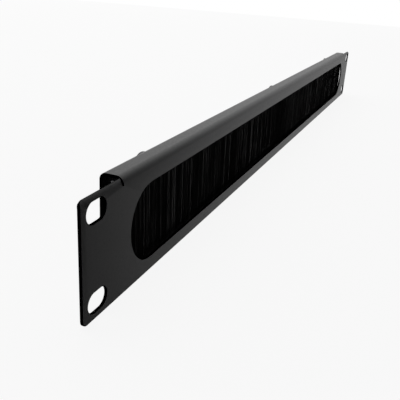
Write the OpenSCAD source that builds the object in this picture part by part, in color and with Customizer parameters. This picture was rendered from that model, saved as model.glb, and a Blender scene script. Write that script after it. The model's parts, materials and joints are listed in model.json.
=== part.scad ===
// One-unit rack panel with a cable opening closed by a hanging brush.
// A sheet is folded over along its top edge into a flange and a rear lip. A black aluminium
// extrusion sits inside that fold, is bolted through the lip, and grips the strip brush.
// Frame: X along the panel, +Z up, front face towards -Y. The origin is the centre of the four
// rack slots, on the face of the sheet that seats on the rack rails.

/* [Panel] */
// Overall width of the panel, ear tip to ear tip
panel_w = 482.6; // [300:0.1:600]
// Height of the panel
panel_h = 44; // [43:0.1:50]
// Width of each ear, from its tip to the end of the flange
ear_w = 25; // [20:0.1:40]
// Thickness of the sheet
sheet_t = 1.2; // [1:0.1:1.6]
// Radius of the four corners of the ears
ear_corner_r = 2.5; // [0.5:0.1:4]

/* [Fold] */
// Depth from the seating face to the back of the rear lip
fold_d = 8.3; // [8.1:0.1:12]
// Height of the rear lip, measured from the top of the flange
lip_h = 18; // [17:0.1:22]
// Outer radius of the bend between face and flange
front_bend_r = 3; // [2:0.1:3.2]
// Outer radius of the bend between flange and lip
rear_bend_r = 2.5; // [2:0.1:3]

/* [Rack slots] */
// Distance from the tip of an ear to the middle of its slots
slot_edge = 8.75; // [7.5:0.05:12]
// Spacing of the rack slots up the panel
slot_pitch_z = 31.75; // [28:0.05:33]
// Length of a rack slot, end to end
slot_l = 11.2; // [9:0.1:13]
// Height of a rack slot
slot_h = 7.4; // [6:0.1:8]

/* [Cable opening] */
// Distance from the end of the flange to the end of the opening
opening_inset = 5.5; // [4:0.1:40]
// Height of the cable opening
opening_h = 30.3; // [20:0.1:31]
// Drop of the opening's centre below the middle of the panel
opening_drop = 1.1; // [0.5:0.05:2]

/* [Brush holder] */
// Gap between the holder and the underside of the flange
holder_gap = 0.2; // [0.1:0.05:0.4]
// Distance that each end of the holder stops short of the flange's end
holder_inset = 3; // [1:0.1:5]
// Thickness of the wall that bears on the lip and takes the screws
holder_wall = 3.3; // [3:0.1:3.4]
// Height of that wall
holder_h = 13; // [12.5:0.1:14.5]
// Thickness of the front leg
front_leg_t = 0.7; // [0.5:0.1:0.8]
// Height of the front leg
front_leg_h = 6; // [5.6:0.1:6.5]
// Thickness of the web over the slot
web_t = 0.8; // [0.6:0.1:1]
// Size of the chamfers that clear the insides of the bends
holder_chamfer = 1.6; // [1.4:0.1:1.8]

/* [Strip brush] */
// Outside width of the steel channel
channel_w = 2.4; // [2.2:0.1:2.5]
// Height of the steel channel
channel_h = 4.5; // [4:0.1:5]
// Wall of the steel channel
channel_t = 0.4; // [0.3:0.05:0.5]
// Clearance of the channel in the holder's slot, on each side
channel_gap = 0.1; // [0.05:0.01:0.15]
// Distance that each end of the channel stops short of the flange's end
channel_inset = 0.2; // [0.1:0.1:1]
// Diameter of the core wire
wire_d = 0.9; // [0.6:0.1:1]
// Clearance round the bristles in the channel, and round the wire in the bristles
bristle_gap = 0.04; // [0.02:0.01:0.06]
// Height of the bristle tips above the bottom edge of the panel
tip_height = 1; // [0:0.1:4]
// Mean thickness of the hanging bristles
curtain_t = 2.7; // [2:0.1:2.8]
// Distance that the hanging bristles stand forward of the channel's middle
curtain_lean = 0.2; // [0:0.05:0.4]
// Depth of the ridges that the tufts make on each side
ridge_depth = 0.35; // [0.1:0.05:0.4]
// Distance from one ridge to the next
ridge_pitch = 3; // [2:0.5:6]

/* [Screws] */
// Distance from the end of the flange to the outer screws
screw_edge = 35.6; // [15:0.1:80]
// Depth of the screws below the top of the flange
screw_drop = 9.6; // [9.3:0.1:10]
// Thread diameter of a screw
screw_d = 6; // [5:0.1:6.5]
// Radial clearance of the thread in the tapped hole
thread_gap = 0.05; // [0.02:0.01:0.1]
// Radial clearance of the screw in the lip
hole_gap = 0.3; // [0.1:0.05:0.5]
// Diameter of a screw head
head_d = 14; // [12:0.1:14.5]
// Height of a screw head
head_h = 4; // [3.5:0.1:5.5]
// Radius of the rounded edge of a screw head
head_round = 0.8; // [0.5:0.1:2]
// Length of an arm of the cross recess, tip to tip
recess_l = 6.8; // [5:0.1:8]
// Width of an arm of the cross recess
recess_w = 1.2; // [0.8:0.1:1.6]
// Depth of the cross recess
recess_depth = 2; // [1.5:0.1:2.5]
// Distance that the screw tips stop short of the slot
tip_gap = 0.1; // [0.05:0.05:0.3]

/* [Hidden] */
$fn = 64;
over = 1; // how far a cutting shape runs past the surface that it cuts

black_coat = [0.13, 0.13, 0.14];
black_anodised = [0.07, 0.07, 0.07];
black_fibre = [0.03, 0.03, 0.03];
bare_zinc = [0.62, 0.63, 0.65];

// Lengths
flange_l = panel_w - 2 * ear_w;
slot_pitch_x = panel_w - 2 * slot_edge;
opening_l = flange_l - 2 * opening_inset;
holder_l = flange_l - 2 * holder_inset;
channel_l = flange_l - 2 * channel_inset;
screw_pitch = flange_l / 2 - screw_edge;

// Heights
top_z = panel_h / 2;
bottom_z = -panel_h / 2;
under_z = top_z - sheet_t;
opening_z = -opening_drop;
screw_z = top_z - screw_drop;

// Depths
front_y = -sheet_t;
lip_y = fold_d - sheet_t;

// The holder, from the lip forwards and from the flange down
holder_top = under_z - holder_gap;
slot_rear = lip_y - holder_wall;
slot_front = slot_rear - channel_w - 2 * channel_gap;
slot_top = holder_top - web_t;
leg_front = slot_front - front_leg_t;

// The brush, hung in the middle of the slot
brush_y = (slot_rear + slot_front) / 2;
channel_top = slot_top - channel_gap;
channel_bottom = channel_top - channel_h;
root_t = channel_w - 2 * channel_t - 2 * bristle_gap;
root_top = channel_top - channel_t - bristle_gap;
curtain_top = holder_top - max(front_leg_h, holder_top - channel_bottom) - bristle_gap;
wire_z = root_top - root_t / 2;
tip_z = bottom_z + tip_height;

// Extrudes a profile drawn in Y and Z along X, centred
module along_x(length) {
    rotate([90, 0, 90]) linear_extrude(length, center = true) children();
}

// Extrudes a profile drawn in X and Z from depth y backwards by t
module backwards(y, t) {
    translate([0, y + t, 0]) rotate([90, 0, 0]) linear_extrude(t) children();
}

// A disc or hole along Y that starts at depth y
module round_y(d, y, length) {
    translate([0, y, 0]) rotate([-90, 0, 0]) cylinder(d = d, h = length);
}

// A slot with round ends, lying along X
module obround(length, height) {
    straight = length - height;
    square([straight, height], center = true);
    for (side = [-1, 1]) translate([side * straight / 2, 0]) circle(d = height);
}

// A rectangle with round corners
module rounded_rect(length, height, r) {
    square([length - 2 * r, height], center = true);
    square([length, height - 2 * r], center = true);
    for (x = [-1, 1], z = [-1, 1])
        translate([x * (length / 2 - r), z * (height / 2 - r)]) circle(r);
}

// The flat sheet: ears of the full height, and a face that ends where the bend starts
module face_outline() {
    difference() {
        rounded_rect(panel_w, panel_h, ear_corner_r);
        translate([-flange_l / 2, top_z - front_bend_r]) square([flange_l, front_bend_r + over]);
        translate([0, opening_z]) obround(opening_l, opening_h);
        for (x = [-1, 1], z = [-1, 1])
            translate([x * slot_pitch_x / 2, z * slot_pitch_z / 2]) obround(slot_l, slot_h);
    }
}

// A strip of sheet bent through a quarter circle, from straight up to straight back
module quarter_bend(r) {
    intersection() {
        difference() {
            circle(r);
            circle(r - sheet_t);
        }
        translate([-r, 0]) square(r);
    }
}

// The fold seen from its end: front bend, flange, rear bend and lip
module fold_section() {
    flange_front = front_y + front_bend_r;
    flange_rear = fold_d - rear_bend_r;
    translate([flange_front, top_z - front_bend_r]) quarter_bend(front_bend_r);
    translate([flange_front, under_z]) square([flange_rear - flange_front, sheet_t]);
    translate([flange_rear, top_z - rear_bend_r]) mirror([1, 0]) quarter_bend(rear_bend_r);
    translate([lip_y, top_z - lip_h]) square([sheet_t, lip_h - rear_bend_r]);
}

module panel() color(black_coat) {
    difference() {
        union() {
            backwards(front_y, sheet_t) face_outline();
            along_x(flange_l) fold_section();
        }
        for (x = [-1, 0, 1])
            translate([x * screw_pitch, 0, screw_z])
                round_y(screw_d + 2 * hole_gap, lip_y - over, sheet_t + 2 * over);
    }
}

// The extrusion seen from its end: a thick wall at the back and a thin leg in front of the slot
module holder_section() {
    wall_bottom = holder_top - holder_h;
    leg_bottom = holder_top - front_leg_h;
    front_cut = min(holder_chamfer, front_leg_t + channel_gap);
    difference() {
        polygon([
            [lip_y, wall_bottom],
            [lip_y, holder_top - holder_chamfer],
            [lip_y - holder_chamfer, holder_top],
            [leg_front + front_cut, holder_top],
            [leg_front, holder_top - front_cut],
            [leg_front, leg_bottom],
            [slot_front, leg_bottom],
            [slot_rear, leg_bottom],
            [slot_rear, wall_bottom]
        ]);
        translate([slot_front, leg_bottom - over])
            square([slot_rear - slot_front, slot_top - leg_bottom + over]);
    }
}

module brush_holder() color(black_anodised) {
    difference() {
        along_x(holder_l) holder_section();
        for (x = [-1, 0, 1])
            translate([x * screw_pitch, 0, screw_z])
                round_y(screw_d + 2 * thread_gap, slot_rear - over / 2, holder_wall + over);
    }
}

module brush_channel() color(bare_zinc) {
    inner_w = channel_w - 2 * channel_t;
    along_x(channel_l) difference() {
        translate([brush_y - channel_w / 2, channel_bottom]) square([channel_w, channel_h]);
        translate([brush_y - inner_w / 2, channel_bottom - over])
            square([inner_w, channel_h - channel_t + over]);
    }
}

module core_wire() color(bare_zinc) {
    translate([0, brush_y, wire_z]) rotate([0, 90, 0])
        cylinder(d = wire_d, h = channel_l, center = true);
}

// Plan of the hanging bristles: a strip with a ridge for each tuft on both sides
module curtain_plan() {
    ridges = floor(channel_l / ridge_pitch);
    step = channel_l / ridges / 2;
    crest = curtain_t / 2;
    front = [for (i = [0 : 2 * ridges])
        [-channel_l / 2 + i * step, -crest + ridge_depth * (i % 2)]];
    back = [for (i = [2 * ridges : -1 : 0])
        [-channel_l / 2 + i * step, crest - ridge_depth * (i % 2)]];
    polygon(concat(front, back));
}

module bristles() color(black_fibre) {
    translate([0, brush_y - curtain_lean, tip_z])
        linear_extrude(curtain_top - tip_z) curtain_plan();
    difference() {
        translate([-channel_l / 2, brush_y - root_t / 2, curtain_top])
            cube([channel_l, root_t, root_top - curtain_top]);
        translate([0, brush_y, wire_z]) rotate([0, 90, 0])
            cylinder(d = wire_d + 2 * bristle_gap, h = channel_l + 2 * over, center = true);
    }
}

// Half the outline of a pan head, from its seat up
module head_profile() {
    square([head_d / 2, head_h - head_round]);
    square([head_d / 2 - head_round, head_h]);
    intersection() {
        translate([head_d / 2 - head_round, head_h - head_round]) circle(head_round);
        square([head_d / 2, head_h]);
    }
}

// A pan-head screw put in from behind, at x along the panel
module screw(x) color(black_anodised) {
    translate([x, 0, screw_z]) {
        difference() {
            translate([0, fold_d, 0]) rotate([-90, 0, 0]) rotate_extrude() head_profile();
            for (turn = [0, 90])
                translate([0, fold_d + head_h, 0]) rotate([0, turn, 0])
                    cube([recess_l, 2 * recess_depth, recess_w], center = true);
        }
        round_y(screw_d, slot_rear + tip_gap, fold_d - slot_rear - tip_gap);
    }
}

panel();
brush_holder();
brush_channel();
core_wire();
bristles();
screw(-screw_pitch);  // screw_left
screw(0);  // screw_middle
screw(screw_pitch);  // screw_right
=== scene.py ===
# %% [markdown]
# # A folded rack panel with a strip brush
# This is a long black panel that closes one unit of an equipment rack. Cables pass through its
# round-ended opening, and a curtain of fibres hangs across the opening to keep the dust out.
# The solids of the frame give every place and size. This lesson dresses them: a sheet with
# softened edges that is cut flat and then bent, thousands of fibres, and the finishes.

import json
import math

import bmesh
import bpy
import numpy as np
from mathutils import Matrix, Vector
from mathutils.geometry import delaunay_2d_cdt


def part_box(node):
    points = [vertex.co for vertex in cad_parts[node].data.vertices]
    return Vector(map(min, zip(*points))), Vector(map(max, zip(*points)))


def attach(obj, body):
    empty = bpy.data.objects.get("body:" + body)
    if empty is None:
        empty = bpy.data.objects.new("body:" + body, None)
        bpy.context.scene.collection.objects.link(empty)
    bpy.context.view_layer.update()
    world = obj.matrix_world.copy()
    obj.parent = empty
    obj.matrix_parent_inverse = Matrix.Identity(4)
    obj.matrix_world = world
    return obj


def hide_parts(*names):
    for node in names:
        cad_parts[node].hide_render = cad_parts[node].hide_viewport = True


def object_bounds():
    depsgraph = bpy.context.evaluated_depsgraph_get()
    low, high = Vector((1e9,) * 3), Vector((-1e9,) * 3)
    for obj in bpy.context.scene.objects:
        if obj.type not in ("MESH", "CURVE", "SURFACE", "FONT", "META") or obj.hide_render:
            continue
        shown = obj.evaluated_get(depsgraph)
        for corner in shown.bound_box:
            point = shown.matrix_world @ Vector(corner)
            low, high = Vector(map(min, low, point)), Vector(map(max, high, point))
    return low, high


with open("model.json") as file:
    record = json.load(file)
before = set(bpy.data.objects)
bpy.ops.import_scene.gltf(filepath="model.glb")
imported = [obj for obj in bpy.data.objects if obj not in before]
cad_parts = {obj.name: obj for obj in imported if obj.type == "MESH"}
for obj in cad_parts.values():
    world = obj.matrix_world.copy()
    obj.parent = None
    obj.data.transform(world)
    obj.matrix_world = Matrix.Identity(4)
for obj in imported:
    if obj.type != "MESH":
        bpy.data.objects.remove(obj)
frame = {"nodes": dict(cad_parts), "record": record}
cad_low, cad_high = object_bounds()
MM = 0.001
print("solids:", sorted(frame["nodes"]))
print("size in mm:", [round((high - low) / MM, 1) for low, high in zip(cad_low, cad_high)])

# %% [markdown]
# ## Camera
# A lens close to the left ear gives a steep perspective, in which the near ear looks three times
# as tall as the far one. Three turns set the direction: yaw from the panel's long axis, pitch
# down, and a small roll of a camera held in the hand.

# %% Camera
CAMERA_PLACE = Vector((-0.36723, -0.08878, 0.08424))
CAMERA_YAW = 0.3798
CAMERA_PITCH = 0.3787
CAMERA_ROLL = 0.0611
LENS = 50.364
SENSOR = 36


def camera_turn(yaw, pitch, roll):
    """Right, up and back as columns: forward is yawed from +X towards +Y and pitched down, right is
    level, and both right and up are then rolled about forward."""
    forward = Vector((math.cos(yaw) * math.cos(pitch), math.sin(yaw) * math.cos(pitch), -math.sin(pitch)))
    level = Vector((forward.y, -forward.x, 0)).normalized()
    upright = level.cross(forward)
    right = math.cos(roll) * level + math.sin(roll) * upright
    up = math.cos(roll) * upright - math.sin(roll) * level
    return Matrix((right, up, -forward)).transposed()


camera = bpy.data.objects.new("camera", bpy.data.cameras.new("camera"))
bpy.context.scene.collection.objects.link(camera)
turn = camera_turn(CAMERA_YAW, CAMERA_PITCH, CAMERA_ROLL)
camera.matrix_world = Matrix.Translation(CAMERA_PLACE) @ turn.to_4x4()
camera.data.lens = LENS
camera.data.sensor_width = SENSOR
camera.data.clip_start = 10 * MM
bpy.context.scene.camera = camera
bpy.context.scene.view_settings.view_transform = "Standard"
print("camera to left ear:", round((CAMERA_PLACE - Vector((cad_low.x, 0, 0))).length / MM), "mm")

# %% [markdown]
# ## Small helpers for node trees
# A material is a tree of nodes. Setting a socket and linking a socket look alike in a recipe, so
# one helper does both, and two more make the nodes that every finish here needs.

# %% Node helpers
WHITE = (1, 1, 1, 1)


def feed(tree, value, socket):
    """A node's output is linked to the socket, and a plain value sets it."""
    if isinstance(value, bpy.types.NodeSocket):
        tree.links.new(value, socket)
    else:
        socket.default_value = value


def math_node(tree, operation, *values):
    """One Math node of that operation over the values. Returns its output."""
    node = tree.nodes.new("ShaderNodeMath")
    node.operation = operation
    for socket, value in zip(node.inputs, values):
        feed(tree, value, socket)
    return node.outputs[0]


def ramp(tree, value, low, high, out_low=0.0, out_high=1.0, smooth=True):
    """out_low below low, out_high above high, and an S curve or a line between them."""
    node = tree.nodes.new("ShaderNodeMapRange")
    node.interpolation_type = "SMOOTHSTEP" if smooth else "LINEAR"
    ends = {"From Min": low, "From Max": high, "To Min": out_low, "To Max": out_high, "Value": value}
    for name, end in ends.items():
        feed(tree, end, node.inputs[name])
    return node.outputs["Result"]


def empty_tree(owner):
    """Switches nodes on for a world or material and clears them."""
    owner.use_nodes = True
    owner.node_tree.nodes.clear()
    return owner.node_tree


# %% [markdown]
# ## Light
# A black satin surface shows almost only what it mirrors. The room is plain white, one soft lamp
# hangs over the panel, and a dim wall stands behind the camera, as a black card does in a studio.
# The wall fades into the white room, so the long face runs from near black to grey.
# The wall could be a plain plane, but its edge would show in the satin coat as a line. A shell
# round the set has no edge when its glow follows direction only.

# %% World
world = bpy.data.worlds.new("white_room")
bpy.context.scene.world = world
tree = empty_tree(world)
room = tree.nodes.new("ShaderNodeBackground")
room.inputs["Color"].default_value = WHITE
tree.links.new(room.outputs[0], tree.nodes.new("ShaderNodeOutputWorld").inputs["Surface"])


# %% Meshes from grids
def add_mesh(name, points, faces, material, normals=None):
    """A smooth-shaded object at the origin from an array of points and one of faces."""
    mesh = bpy.data.meshes.new(name)
    mesh.from_pydata(points, [], faces)
    mesh.polygons.foreach_set("use_smooth", np.ones(len(faces), bool))
    mesh.materials.append(material)
    if normals is not None:
        mesh.normals_split_custom_set_from_vertices(normals)
    piece = bpy.data.objects.new(name, mesh)
    bpy.context.scene.collection.objects.link(piece)
    return piece


def grid_faces(rows, columns, wrap=False):
    """Quads of a grid of points that is stored row after row. With wrap the last column meets the first."""
    row, column = np.mgrid[0:rows - 1, 0:columns if wrap else columns - 1]
    here = row * columns + column
    beside = row * columns + (column + 1) % columns
    return np.stack([here, beside, beside + columns, here + columns], -1).reshape(-1, 4)


# %% Dim wall
BRIGHT_SIDE = Vector((0.6, 0.8, 0.0))
WALL_RADIUS = 2.0
WALL_GLOW = 0.03
FADE_START = -0.05
FADE_END = 0.45
WALL_RINGS = 24
WALL_SPOKES = 48
POLE_HOLE = 0.02


def wall_material():
    """Emission that rises from WALL_GLOW to 1, the room's own white, towards the bright side."""
    material = bpy.data.materials.new("dim_wall")
    tree = empty_tree(material)
    place = tree.nodes.new("ShaderNodeTexCoord").outputs["Object"]
    towards = tree.nodes.new("ShaderNodeVectorMath")
    towards.operation = "DOT_PRODUCT"
    tree.links.new(place, towards.inputs[0])
    towards.inputs[1].default_value = BRIGHT_SIDE / WALL_RADIUS
    glow = tree.nodes.new("ShaderNodeEmission")
    glow.inputs["Color"].default_value = WHITE
    fade = ramp(tree, towards.outputs["Value"], FADE_START, FADE_END, WALL_GLOW, 1.0)
    tree.links.new(fade, glow.inputs["Strength"])
    tree.links.new(glow.outputs[0], tree.nodes.new("ShaderNodeOutputMaterial").inputs["Surface"])
    return material


def wall_points():
    """Part of a sphere: rings run from the pole behind the camera to where the glow reaches white,
    and a ring's point is pole times cosine plus the ring's own circle times sine."""
    pole = -np.array(BRIGHT_SIDE)
    upright = np.array((0.0, 0.0, 1.0))
    aside = np.cross(pole, upright)
    polar = np.linspace(POLE_HOLE, math.pi - math.acos(FADE_END), WALL_RINGS)[:, None, None]
    around = np.linspace(0, 2 * math.pi, WALL_SPOKES, endpoint=False)[None, :, None]
    circle = upright * np.cos(around) + aside * np.sin(around)
    return (WALL_RADIUS * (pole * np.cos(polar) + circle * np.sin(polar))).reshape(-1, 3)


wall_faces = grid_faces(WALL_RINGS, WALL_SPOKES, wrap=True)
wall = add_mesh("dim_wall", wall_points(), wall_faces, wall_material())
wall.visible_camera = False
wall.visible_shadow = False
print("dim wall faces:", len(wall_faces))


# %% Lamps
def soft_box(name, place, aim, size, power):
    """A square area lamp of that size at place, turned so that it faces aim."""
    lamp = bpy.data.objects.new(name, bpy.data.lights.new(name, "AREA"))
    lamp.data.size = size
    lamp.data.energy = power
    lamp.location = place
    lamp.rotation_euler = (Vector(aim) - Vector(place)).to_track_quat("-Z", "Y").to_euler()
    bpy.context.scene.collection.objects.link(lamp)
    return lamp


soft_box("lamp_above", (0.1, 0.15, 0.9), (0, 0, 0), 0.8, 2.0)

# %% [markdown]
# ## Floor
# The floor is white to the camera whatever the light, and still takes a faint shadow. A material
# that only glows would show no shadow, so a small share of it stays plain white paint.

# %% Floor
FLOOR_HALF = 1.5
FLOOR_GLOW = 0.9
FLOOR_GAP = 0.2 * MM


def floor_material():
    """A glow of one for rays from the camera, mirrors and glass, mixed with diffuse white."""
    material = bpy.data.materials.new("floor_white")
    tree = empty_tree(material)
    paint = tree.nodes.new("ShaderNodeBsdfDiffuse")
    paint.inputs["Color"].default_value = (0.8, 0.8, 0.8, 1)
    glow = tree.nodes.new("ShaderNodeEmission")
    glow.inputs["Color"].default_value = WHITE
    ray = tree.nodes.new("ShaderNodeLightPath").outputs
    seen = math_node(tree, "MAXIMUM", ray["Is Camera Ray"], ray["Is Glossy Ray"])
    seen = math_node(tree, "MAXIMUM", seen, ray["Is Transmission Ray"])
    mix = tree.nodes.new("ShaderNodeMixShader")
    tree.links.new(math_node(tree, "MULTIPLY", seen, FLOOR_GLOW), mix.inputs["Fac"])
    tree.links.new(paint.outputs[0], mix.inputs[1])
    tree.links.new(glow.outputs[0], mix.inputs[2])
    tree.links.new(mix.outputs[0], tree.nodes.new("ShaderNodeOutputMaterial").inputs["Surface"])
    return material


floor_z = cad_low.z - FLOOR_GAP
corners = [(x * FLOOR_HALF, y * FLOOR_HALF, floor_z) for x, y in ((-1, -1), (1, -1), (1, 1), (-1, 1))]
floor = add_mesh("floor", corners, [(0, 1, 2, 3)], floor_material())
floor.visible_glossy = False
print("floor height in mm:", round(floor_z / MM, 2))

# %% [markdown]
# ## Finishes
# Every finish starts as a fine grain: two noises of different size, added. The grain gives a
# height for the bump and a tone between 0 and 1. It is one node group, built once, and each
# material places it with its own scale and stretch.

# %% Grain group
def grain_group():
    """Coarse noise plus half as much noise four times finer, on Object coordinates in metres."""
    group = bpy.data.node_groups.new("grain", "ShaderNodeTree")
    group.interface.new_socket("Scale", in_out="INPUT", socket_type="NodeSocketFloat")
    group.interface.new_socket("Stretch", in_out="INPUT", socket_type="NodeSocketVector")
    group.interface.new_socket("Height", in_out="OUTPUT", socket_type="NodeSocketFloat")
    group.interface.new_socket("Tone", in_out="OUTPUT", socket_type="NodeSocketFloat")
    inputs = group.nodes.new("NodeGroupInput").outputs
    outputs = group.nodes.new("NodeGroupOutput").inputs
    place = group.nodes.new("ShaderNodeTexCoord").outputs["Object"]
    stretched = group.nodes.new("ShaderNodeVectorMath")
    stretched.operation = "MULTIPLY"
    group.links.new(place, stretched.inputs[0])
    group.links.new(inputs["Stretch"], stretched.inputs[1])
    noises = []
    for finer in (1, 4):
        noise = group.nodes.new("ShaderNodeTexNoise")
        noise.inputs["Detail"].default_value = 2
        group.links.new(stretched.outputs[0], noise.inputs["Vector"])
        group.links.new(math_node(group, "MULTIPLY", inputs["Scale"], finer), noise.inputs["Scale"])
        noises.append(noise.outputs["Fac"])
    height = math_node(group, "ADD", noises[0], math_node(group, "MULTIPLY", noises[1], 0.5))
    group.links.new(height, outputs["Height"])
    group.links.new(ramp(group, height, 0.5, 1.0), outputs["Tone"])
    return group


GRAIN = grain_group()


# %% Materials
IOR = 1.5


def blend_colors(tree, share, dark, light):
    """A Mix node from dark to light by share."""
    mix = tree.nodes.new("ShaderNodeMix")
    mix.data_type = "RGBA"
    feed(tree, share, mix.inputs["Factor"])
    feed(tree, (*dark, 1), mix.inputs["A"])
    feed(tree, (*light, 1), mix.inputs["B"])
    return mix.outputs["Result"]


def grained(name, dark, light, rough, scale, stretch=(1, 1, 1), bump=0.0, metallic=0.0):
    """A Principled material whose colour and roughness follow the grain's tone, and whose bump
    follows its height. rough is the least and the most roughness, and bump a depth in metres."""
    material = bpy.data.materials.new(name)
    material.use_nodes = True
    tree = material.node_tree
    shader = tree.nodes["Principled BSDF"]
    shader.inputs["Metallic"].default_value = metallic
    shader.inputs["IOR"].default_value = IOR
    grain = tree.nodes.new("ShaderNodeGroup")
    grain.node_tree = GRAIN
    grain.inputs["Scale"].default_value = scale
    grain.inputs["Stretch"].default_value = stretch
    tone = grain.outputs["Tone"]
    tree.links.new(blend_colors(tree, tone, dark, light), shader.inputs["Base Color"])
    tree.links.new(ramp(tree, tone, 0, 1, *rough, smooth=False), shader.inputs["Roughness"])
    if bump:
        bumped = tree.nodes.new("ShaderNodeBump")
        bumped.inputs["Distance"].default_value = bump
        tree.links.new(grain.outputs["Height"], bumped.inputs["Height"])
        tree.links.new(bumped.outputs["Normal"], shader.inputs["Normal"])
    return material


coat = grained("black_powder_coat", (0.0125, 0.0125, 0.013), (0.0165, 0.0165, 0.0175), (0.38, 0.46),
               scale=900, bump=0.02 * MM)
anodised = grained("black_anodised", (0.008, 0.008, 0.008), (0.013, 0.013, 0.013), (0.3, 0.45),
                   scale=1200, stretch=(0.02, 1, 1), bump=0.01 * MM)
zinc = grained("zinc_plated_steel", (0.5, 0.51, 0.53), (0.66, 0.67, 0.68), (0.22, 0.4),
               scale=700, metallic=1.0)
screw_black = grained("black_screw", (0.006, 0.006, 0.007), (0.01, 0.01, 0.011), (0.2, 0.32),
                      scale=1500, bump=0.004 * MM)
print("materials:", [material.name for material in bpy.data.materials])

# %% [markdown]
# ## The sheet
# The panel is one blank of steel sheet. A punch cuts its outline, the opening, four slots for
# rack screws and three holes for the brush's screws, and a press brake then folds the top edge
# twice. It could be made from the frame's solid with a Bevel modifier, but that leaves the long
# faces round the holes to chance. Here it is made as the workshop makes it: cut flat, with
# softened edges, and then bent by a formula that also turns the normals.

# %% Sheet sizes
panel_low, panel_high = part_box("panel")
channel_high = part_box("brush_channel")[1]
rack = frame["record"]["mounts"][0]["dims"]
SHEET = -panel_low.y
HALF_W = panel_high.x
TOP = panel_high.z
FOLD = panel_high.y
CHANNEL_INSET = 0.2 * MM
FLANGE_HALF = channel_high.x + CHANNEL_INSET
EAR_CORNER = 2.5 * MM
FRONT_BEND = 3 * MM
REAR_BEND = 2.5 * MM
LIP_H = 18 * MM
LIP_CORNER = 1 * MM
OPENING_INSET = 5.5 * MM
OPENING_HALF = FLANGE_HALF - OPENING_INSET
OPENING_R = 15.15 * MM
OPENING_Z = -1.1 * MM
SCREW_HOLE_R = 3.3 * MM
NOTCH = 0.3 * MM
EDGE_R = 0.25 * MM
CORNER_STEPS = 12
LIP_CORNER_STEPS = 6
OPENING_STEPS = 48
SLOT_STEPS = 24
HOLE_POINTS = 48

# Lengths up the flat blank, from the middle of the face
BEND_1 = TOP - FRONT_BEND
FLANGE_1 = BEND_1 + FRONT_BEND * math.pi / 2
FLANGE_2 = FLANGE_1 + FOLD - REAR_BEND + SHEET - FRONT_BEND
LIP_1 = FLANGE_2 + REAR_BEND * math.pi / 2
LIP_2 = LIP_1 + LIP_H - REAR_BEND
print("flat blank:", round(2 * HALF_W / MM, 1), "x", round((LIP_2 - panel_low.z) / MM, 1), "mm")


# %% Outlines on the flat blank
def arc(x, s, radius, start, end, steps):
    """Points round a centre from one angle to another, in degrees."""
    angle = np.radians(np.linspace(start, end, steps + 1))
    return np.stack([x + radius * np.cos(angle), s + radius * np.sin(angle)], 1)


def obround(x, s, half, radius, steps):
    """A slot with round ends, clockwise, because it bounds a hole."""
    right = arc(x + half - radius, s, radius, 90, -90, steps)
    left = arc(x - half + radius, s, radius, -90, -270, steps)
    return np.concatenate([right, left])


def bend_rows(start, radius, steps=12):
    """Lengths up the blank at which a bend has turned one more step."""
    return start + radius * np.linspace(0, math.pi / 2, steps + 1)


ROWS = np.concatenate([bend_rows(BEND_1, FRONT_BEND)[1:], bend_rows(FLANGE_2, REAR_BEND)])


def half_outline():
    """The right half of the blank's edge, from the bottom up and over to the middle of the lip."""
    ear_x = HALF_W - EAR_CORNER
    ear_low = arc(ear_x, panel_low.z + EAR_CORNER, EAR_CORNER, -90, 0, CORNER_STEPS)
    ear_high = arc(ear_x, TOP - EAR_CORNER, EAR_CORNER, 0, 90, CORNER_STEPS)
    notch_x = FLANGE_HALF + NOTCH
    notch = np.array([(notch_x, TOP), (notch_x, BEND_1), (FLANGE_HALF, BEND_1)])
    side = np.stack([np.full(len(ROWS), FLANGE_HALF), ROWS], 1)
    lip_x = FLANGE_HALF - LIP_CORNER
    lip = arc(lip_x, LIP_2 - LIP_CORNER, LIP_CORNER, 0, 90, LIP_CORNER_STEPS)
    return np.concatenate([ear_low, ear_high, notch, side, lip])


right_half = half_outline()
outline = np.concatenate([right_half, (right_half * (-1, 1))[::-1]])

holes = [obround(0, OPENING_Z, OPENING_HALF, OPENING_R, OPENING_STEPS)]
for x in (-1, 1):
    for z in (-1, 1):
        holes.append(obround(x * rack["spacing_x_mm"] / 2 * MM, z * rack["spacing_y_mm"] / 2 * MM,
                             rack["slot_length_mm"] / 2 * MM, rack["hole_r_mm"] * MM, SLOT_STEPS))
for name in ("screw_left", "screw_middle", "screw_right"):
    middle = sum(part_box(name), Vector()) / 2
    lip_place = LIP_1 + TOP - REAR_BEND - middle.z
    one_step = 360 / HOLE_POINTS
    holes.append(arc(middle.x, lip_place, SCREW_HOLE_R, 360, one_step, HOLE_POINTS - 1))
print("outline points:", len(outline), "- holes:", [len(hole) for hole in holes])


# %% Bend formula
def fold(x, s, depth):
    """Where a point of the flat blank goes. s is its length up the blank and depth its distance
    into the sheet from the outer face. The turn grows by length over radius within each bend.
    Height and depth add up the straight runs and the sines and cosines of the two turns, and the
    inward direction is the first one, +Y, turned by the total."""
    first = np.clip((s - BEND_1) / FRONT_BEND, 0, math.pi / 2)
    second = np.clip((s - FLANGE_2) / REAR_BEND, 0, math.pi / 2)
    flange = np.clip(s - FLANGE_1, 0, FLANGE_2 - FLANGE_1)
    lip = np.maximum(s - LIP_1, 0)
    y = -SHEET + FRONT_BEND * (1 - np.cos(first)) + flange + REAR_BEND * np.sin(second)
    z = np.minimum(s, BEND_1) + FRONT_BEND * np.sin(first) - REAR_BEND * (1 - np.cos(second)) - lip
    turn = first + second
    return np.stack([x, y + depth * np.cos(turn), z - depth * np.sin(turn)], 1), turn


def fold_normals(normals, turn):
    """A normal in the blank's own directions (along, up, into the sheet) turned with the sheet."""
    along, up, into = normals.T
    back = up * np.sin(turn) + into * np.cos(turn)
    rise = up * np.cos(turn) - into * np.sin(turn)
    return np.stack([along, back, rise], 1)


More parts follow.
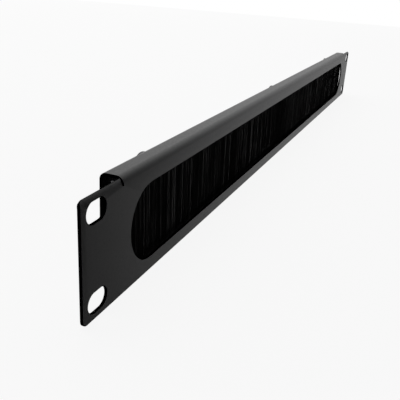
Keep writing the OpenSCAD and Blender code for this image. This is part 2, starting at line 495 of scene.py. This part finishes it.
# %% Softened rims
def inward(loop):
    """Mitre direction at each point of a loop whose material lies to the left of travel. It moves
    both neighbouring edges by one when the point moves by one along it."""
    ahead = np.roll(loop, -1, 0) - loop
    ahead /= np.linalg.norm(ahead, axis=1, keepdims=True)
    behind = np.roll(ahead, 1, 0)
    total = np.stack([-(ahead + behind)[:, 1], (ahead + behind)[:, 0]], 1)
    return 2 * total / (total ** 2).sum(1, keepdims=True)


def rim_profile(steps=4):
    """Rows of (step in from the edge, depth, outward share, inward share of the normal). A quarter
    circle runs from the outer face to the cut wall, and a second one from the wall to the inner face."""
    angle = np.linspace(math.pi / 2, 0, steps + 1)
    step_in = EDGE_R * (1 - np.cos(angle))
    sink = EDGE_R * (1 - np.sin(angle))
    outer = np.stack([step_in, sink, np.cos(angle), -np.sin(angle)], 1)
    inner = np.stack([step_in, SHEET - sink, np.cos(angle), np.sin(angle)], 1)[::-1]
    return np.concatenate([outer, inner])


def rim(loop):
    """The loop carried along the rim profile: flat points with depth, and their normals."""
    mitre = inward(loop)
    outward = -mitre / np.linalg.norm(mitre, axis=1, keepdims=True)
    profile = rim_profile()[:, None, :]
    flat = loop[None] + mitre[None] * profile[..., :1]
    depth = np.broadcast_to(profile[..., 1:2], (*flat.shape[:2], 1))
    normals = np.concatenate([outward[None] * profile[..., 2:3],
                              np.broadcast_to(profile[..., 3:4], depth.shape)], -1)
    return np.concatenate([flat, depth], -1), normals


def inside(points, loops):
    """Even-odd rule: a point is in the sheet if a ray from it crosses the loops an odd number of times."""
    starts = np.concatenate(loops)
    ends = np.concatenate([np.roll(loop, -1, 0) for loop in loops])
    x, s = points[:, :1], points[:, 1:]
    spans = (starts[:, 1] > s) != (ends[:, 1] > s)
    rise = np.where(starts[:, 1] == ends[:, 1], 1, ends[:, 1] - starts[:, 1])
    cross_x = starts[:, 0] + (s - starts[:, 1]) * (ends[:, 0] - starts[:, 0]) / rise
    return (spans & (cross_x > x)).sum(1) % 2 == 1


def fill(loops):
    """Triangles that fill the loops, with a cut along every row of the bends so that they can turn."""
    points = np.concatenate(loops) / MM
    first = np.cumsum([0] + [len(loop) for loop in loops])
    edges = []
    for start, loop in zip(first, loops):
        edges += [(start + k, start + (k + 1) % len(loop)) for k in range(len(loop))]
    for row in ROWS / MM:
        ends = np.flatnonzero(np.abs(points[:len(loops[0]), 1] - row) < 1e-6)
        edges.append((ends[0], ends[-1]))
    made = delaunay_2d_cdt([Vector(point) for point in points], edges, [], 0, 1e-6)
    triangles = np.array(made[2])
    middles = points[triangles].mean(1) * MM
    return triangles[inside(middles, loops)]


# %% Panel piece
rims = [rim(loop) for loop in [outline] + holes]
profile_rows = len(rim_profile())
sheet_points = np.concatenate([flat.reshape(-1, 3) for flat, _ in rims])
sheet_normals = np.concatenate([normals.reshape(-1, 3) for _, normals in rims])
sheet_faces = []
outer_ids = []
inner_ids = []
offset = 0
for flat, _ in rims:
    count = flat.shape[1]
    sheet_faces += (grid_faces(profile_rows, count, wrap=True) + offset).tolist()
    outer_ids.append(offset + np.arange(count))
    inner_ids.append(offset + (profile_rows - 1) * count + np.arange(count))
    offset += profile_rows * count
outer_ids = np.concatenate(outer_ids)
inner_ids = np.concatenate(inner_ids)
filled = fill([flat[0, :, :2] for flat, _ in rims])
sheet_faces += outer_ids[filled].tolist() + inner_ids[filled][:, ::-1].tolist()

bent, turned = fold(*sheet_points.T)
panel = add_mesh("panel_sheet", bent, sheet_faces, coat, fold_normals(sheet_normals, turned))
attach(panel, "root")
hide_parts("panel")
print("panel faces:", len(sheet_faces))

# %% [markdown]
# ## Pieces that keep the solid's form
# The brush holder is a black extrusion, the brush's channel is rolled from bright steel, and the
# screws have pan heads. Their solids already have the right form, with knife-sharp edges. Each
# becomes a merged copy whose flat faces are whole again, with a small Bevel to catch the light.

# %% Softened copies
MERGE = 1e-7
FLAT_ANGLE = math.radians(0.5)
SHARP_ANGLE = math.radians(30)


def softened(node, name, material, width, segments=2):
    """A copy of a solid with merged points, whole flat faces and a bevel along every sharp edge."""
    shape = bmesh.new()
    shape.from_mesh(frame["nodes"][node].data)
    bmesh.ops.remove_doubles(shape, verts=shape.verts, dist=MERGE)
    bmesh.ops.dissolve_limit(shape, angle_limit=FLAT_ANGLE, verts=shape.verts, edges=shape.edges)
    mesh = bpy.data.meshes.new(name)
    shape.to_mesh(mesh)
    shape.free()
    mesh.polygons.foreach_set("use_smooth", np.ones(len(mesh.polygons), bool))
    mesh.set_sharp_from_angle(angle=SHARP_ANGLE)
    mesh.materials.clear()
    mesh.materials.append(material)
    piece = bpy.data.objects.new(name, mesh)
    bpy.context.scene.collection.objects.link(piece)
    bevel = piece.modifiers.new("edges", "BEVEL")
    bevel.width = width
    bevel.segments = segments
    bevel.limit_method = "ANGLE"
    bevel.angle_limit = SHARP_ANGLE
    bevel.harden_normals = True
    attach(piece, "root")
    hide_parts(node)
    return piece


softened("brush_holder", "holder", anodised, 0.2 * MM)
softened("brush_channel", "channel", zinc, 0.12 * MM)
softened("core_wire", "wire", zinc, 0.1 * MM)
for name in ("screw_left", "screw_middle", "screw_right"):
    softened(name, name + "_soft", screw_black, 0.2 * MM)

# %% [markdown]
# ## Bristles
# A strip brush is thousands of black nylon fibres folded over a wire and crimped in the channel.
# They hang in loose clumps. Hair curves would draw them well, but they leave no mesh for the
# exported model, so each fibre here is a thin three-sided tube with a few rings. All fibres of a
# piece are one array: fibre, ring, side, and the curtain is split into pieces along its length.

# %% Bristle sizes
bristle_low, bristle_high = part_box("bristles")
brush_y = (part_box("brush_channel")[0].y + channel_high.y) / 2
HALF_CURTAIN = bristle_high.x
ROOT_CAP = 0.6 * MM
ROOT_Z = bristle_high.z - ROOT_CAP
TIP_Z = bristle_low.z
ROOT_SPREAD = 0.62 * MM
PANEL_CLEAR = 0.25 * MM
TUFT_PITCH = 3 * MM
FIBRES_PER_TUFT = 120
FIBRE_R = 0.11 * MM
FIBRE_RINGS = 6
FIBRE_SIDES = 3
TIP_SHARE = 0.55
BRISTLE_PIECES = 6

# How a fibre drifts on its way down
TUFT_LEAN = 0.35 * MM
PULL_LEAST = 0.1
PULL_MOST = 0.45
OWN_DRIFT = 0.28 * MM
STRAY_SHARE = 0.03
STRAY_DRIFT = 2.0 * MM
END_REACH = 5 * MM
END_SPLAY = 1.6 * MM
DRIFT_FRONT = -1.25
DRIFT_BACK = 1.1
TUFT_SET = 0.12 * MM
SHORTER = 0.35 * MM
WAVE = 0.09 * MM
WAVE_LEAST = 4
WAVE_MOST = 8
rng = np.random.default_rng(7)


def tubes(lines, radius):
    """Thin tubes round many lines at once. lines is (fibre, ring, 3), and each ring is a small
    triangle in the level plane, because the fibres hang almost straight down."""
    fibres, rings, _ = lines.shape
    angle = rng.uniform(0, 2 * math.pi, fibres)[:, None] + np.arange(FIBRE_SIDES) * 2 * math.pi / FIBRE_SIDES
    circle = np.stack([np.cos(angle), np.sin(angle), np.zeros_like(angle)], -1)
    points = lines[:, :, None, :] + circle[:, None] * radius[:, :, None, None]
    wall = grid_faces(rings, FIBRE_SIDES, wrap=True)[:, ::-1]
    tip = np.arange(FIBRE_SIDES)[::-1] + (rings - 1) * FIBRE_SIDES
    shift = np.arange(fibres)[:, None, None] * rings * FIBRE_SIDES
    walls = (wall[None] + shift).reshape(-1, 4)
    tips = (tip[None, None] + shift).reshape(-1, 3)
    return points.reshape(-1, 3), walls.tolist() + tips.tolist()


# %% Fibre lines
def fibre_lines(first_x, tufts):
    """Lines of the fibres of some tufts. A fibre leaves the channel within ROOT_SPREAD of its
    middle and drifts aside with the square of the way down. Its drift is its tuft's own lean, a
    pull towards the tuft's middle, and a share of its own. The fore and aft drift fills the
    curtain's thickness, and a slow wave gives each fibre its set."""
    count = tufts * FIBRES_PER_TUFT
    tuft = np.repeat(np.arange(tufts), FIBRES_PER_TUFT)
    middle = first_x + (tuft + 0.5) * TUFT_PITCH
    root_x = middle + rng.uniform(-0.5, 0.5, count) * TUFT_PITCH
    root_y = brush_y + rng.uniform(-1, 1, count) * ROOT_SPREAD
    lean = rng.normal(0, TUFT_LEAN, tufts)[tuft]
    pull = (middle - root_x) * rng.uniform(PULL_LEAST, PULL_MOST, tufts)[tuft]
    own = rng.normal(0, OWN_DRIFT, count)
    own += (rng.random(count) < STRAY_SHARE) * rng.normal(0, STRAY_DRIFT, count)
    end_share = np.clip((np.abs(root_x) - HALF_CURTAIN + END_REACH) / END_REACH, 0, 1)
    outwards = end_share * np.sign(root_x) * END_SPLAY
    drift_x = lean + pull + own + outwards * rng.random(count)
    depth = rng.uniform(DRIFT_FRONT, DRIFT_BACK, count) * MM + rng.normal(0, TUFT_SET, tufts)[tuft]
    way = np.linspace(0, 1, FIBRE_RINGS)[None]
    length = ROOT_Z - TIP_Z - np.abs(rng.normal(0, SHORTER, count))
    swing = rng.normal(0, WAVE, count)[:, None]
    wave = swing * np.sin(way * rng.uniform(WAVE_LEAST, WAVE_MOST, count)[:, None])
    x = root_x[:, None] + drift_x[:, None] * way ** 2 + wave
    y = root_y[:, None] + depth[:, None] * np.sqrt(way)
    z = ROOT_Z - length[:, None] * way
    return np.stack([x, np.maximum(y, PANEL_CLEAR), np.broadcast_to(z, x.shape)], -1)


# %% Bristle material
def fibre_material():
    """Near-black nylon whose tone differs from clump to clump, by a noise that is stretched down."""
    return grained("black_bristle", (0.002, 0.002, 0.002), (0.008, 0.008, 0.008), (0.35, 0.55),
                   scale=900, stretch=(1, 1, 0.03))


nylon = fibre_material()
tufts_per_piece = int(2 * HALF_CURTAIN / TUFT_PITCH / BRISTLE_PIECES)
first_x = -tufts_per_piece * BRISTLE_PIECES * TUFT_PITCH / 2
taper = np.ones(FIBRE_RINGS)
taper[-1] = TIP_SHARE
for number in range(BRISTLE_PIECES):
    lines = fibre_lines(first_x + number * tufts_per_piece * TUFT_PITCH, tufts_per_piece)
    radius = FIBRE_R * rng.uniform(0.8, 1.2, (len(lines), 1)) * taper[None]
    points, faces = tubes(lines, radius)
    piece = add_mesh(f"bristles_{number + 1}", points, faces, nylon)
    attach(piece, "root")
    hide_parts("bristles")
print("fibres:", BRISTLE_PIECES * tufts_per_piece * FIBRES_PER_TUFT, "- faces in one piece:", len(faces))

# %% [markdown]
# Behind the first fibres the eye sees only more fibres. A dark slab inside the curtain stands for
# those, so that no light leaks through between the tubes.

# %% Bristle core
CORE_HALF = 0.5 * MM
CORE_SHORT = 2.5 * MM
CORE_WAVE = 0.12 * MM
CORE_COLUMNS = 289


def core_points():
    """A closed strip: front and back sheets with shallow waves, joined over top and bottom."""
    x = np.linspace(-HALF_CURTAIN, HALF_CURTAIN, CORE_COLUMNS)
    wave = CORE_WAVE * np.sin(x * 2 * math.pi / TUFT_PITCH)
    top = ROOT_Z
    bottom = TIP_Z + CORE_SHORT
    ring = [(-1, top), (-1, bottom), (1, bottom), (1, top)]
    return np.concatenate([np.stack([x, brush_y + side * (CORE_HALF + wave), np.full(CORE_COLUMNS, z)], 1)
                           for side, z in ring])


core_faces = []
for ring in range(4):
    here = ring * CORE_COLUMNS + np.arange(CORE_COLUMNS - 1)
    there = (ring + 1) % 4 * CORE_COLUMNS + np.arange(CORE_COLUMNS - 1)
    core_faces += np.stack([here, there, there + 1, here + 1], 1).tolist()
core_faces += [[ring * CORE_COLUMNS for ring in (3, 2, 1, 0)]]
core_faces += [[ring * CORE_COLUMNS + CORE_COLUMNS - 1 for ring in range(4)]]
core = add_mesh("bristle_core", core_points(), core_faces, nylon)
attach(core, "root")
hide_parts("bristles")
print("core faces:", len(core_faces))
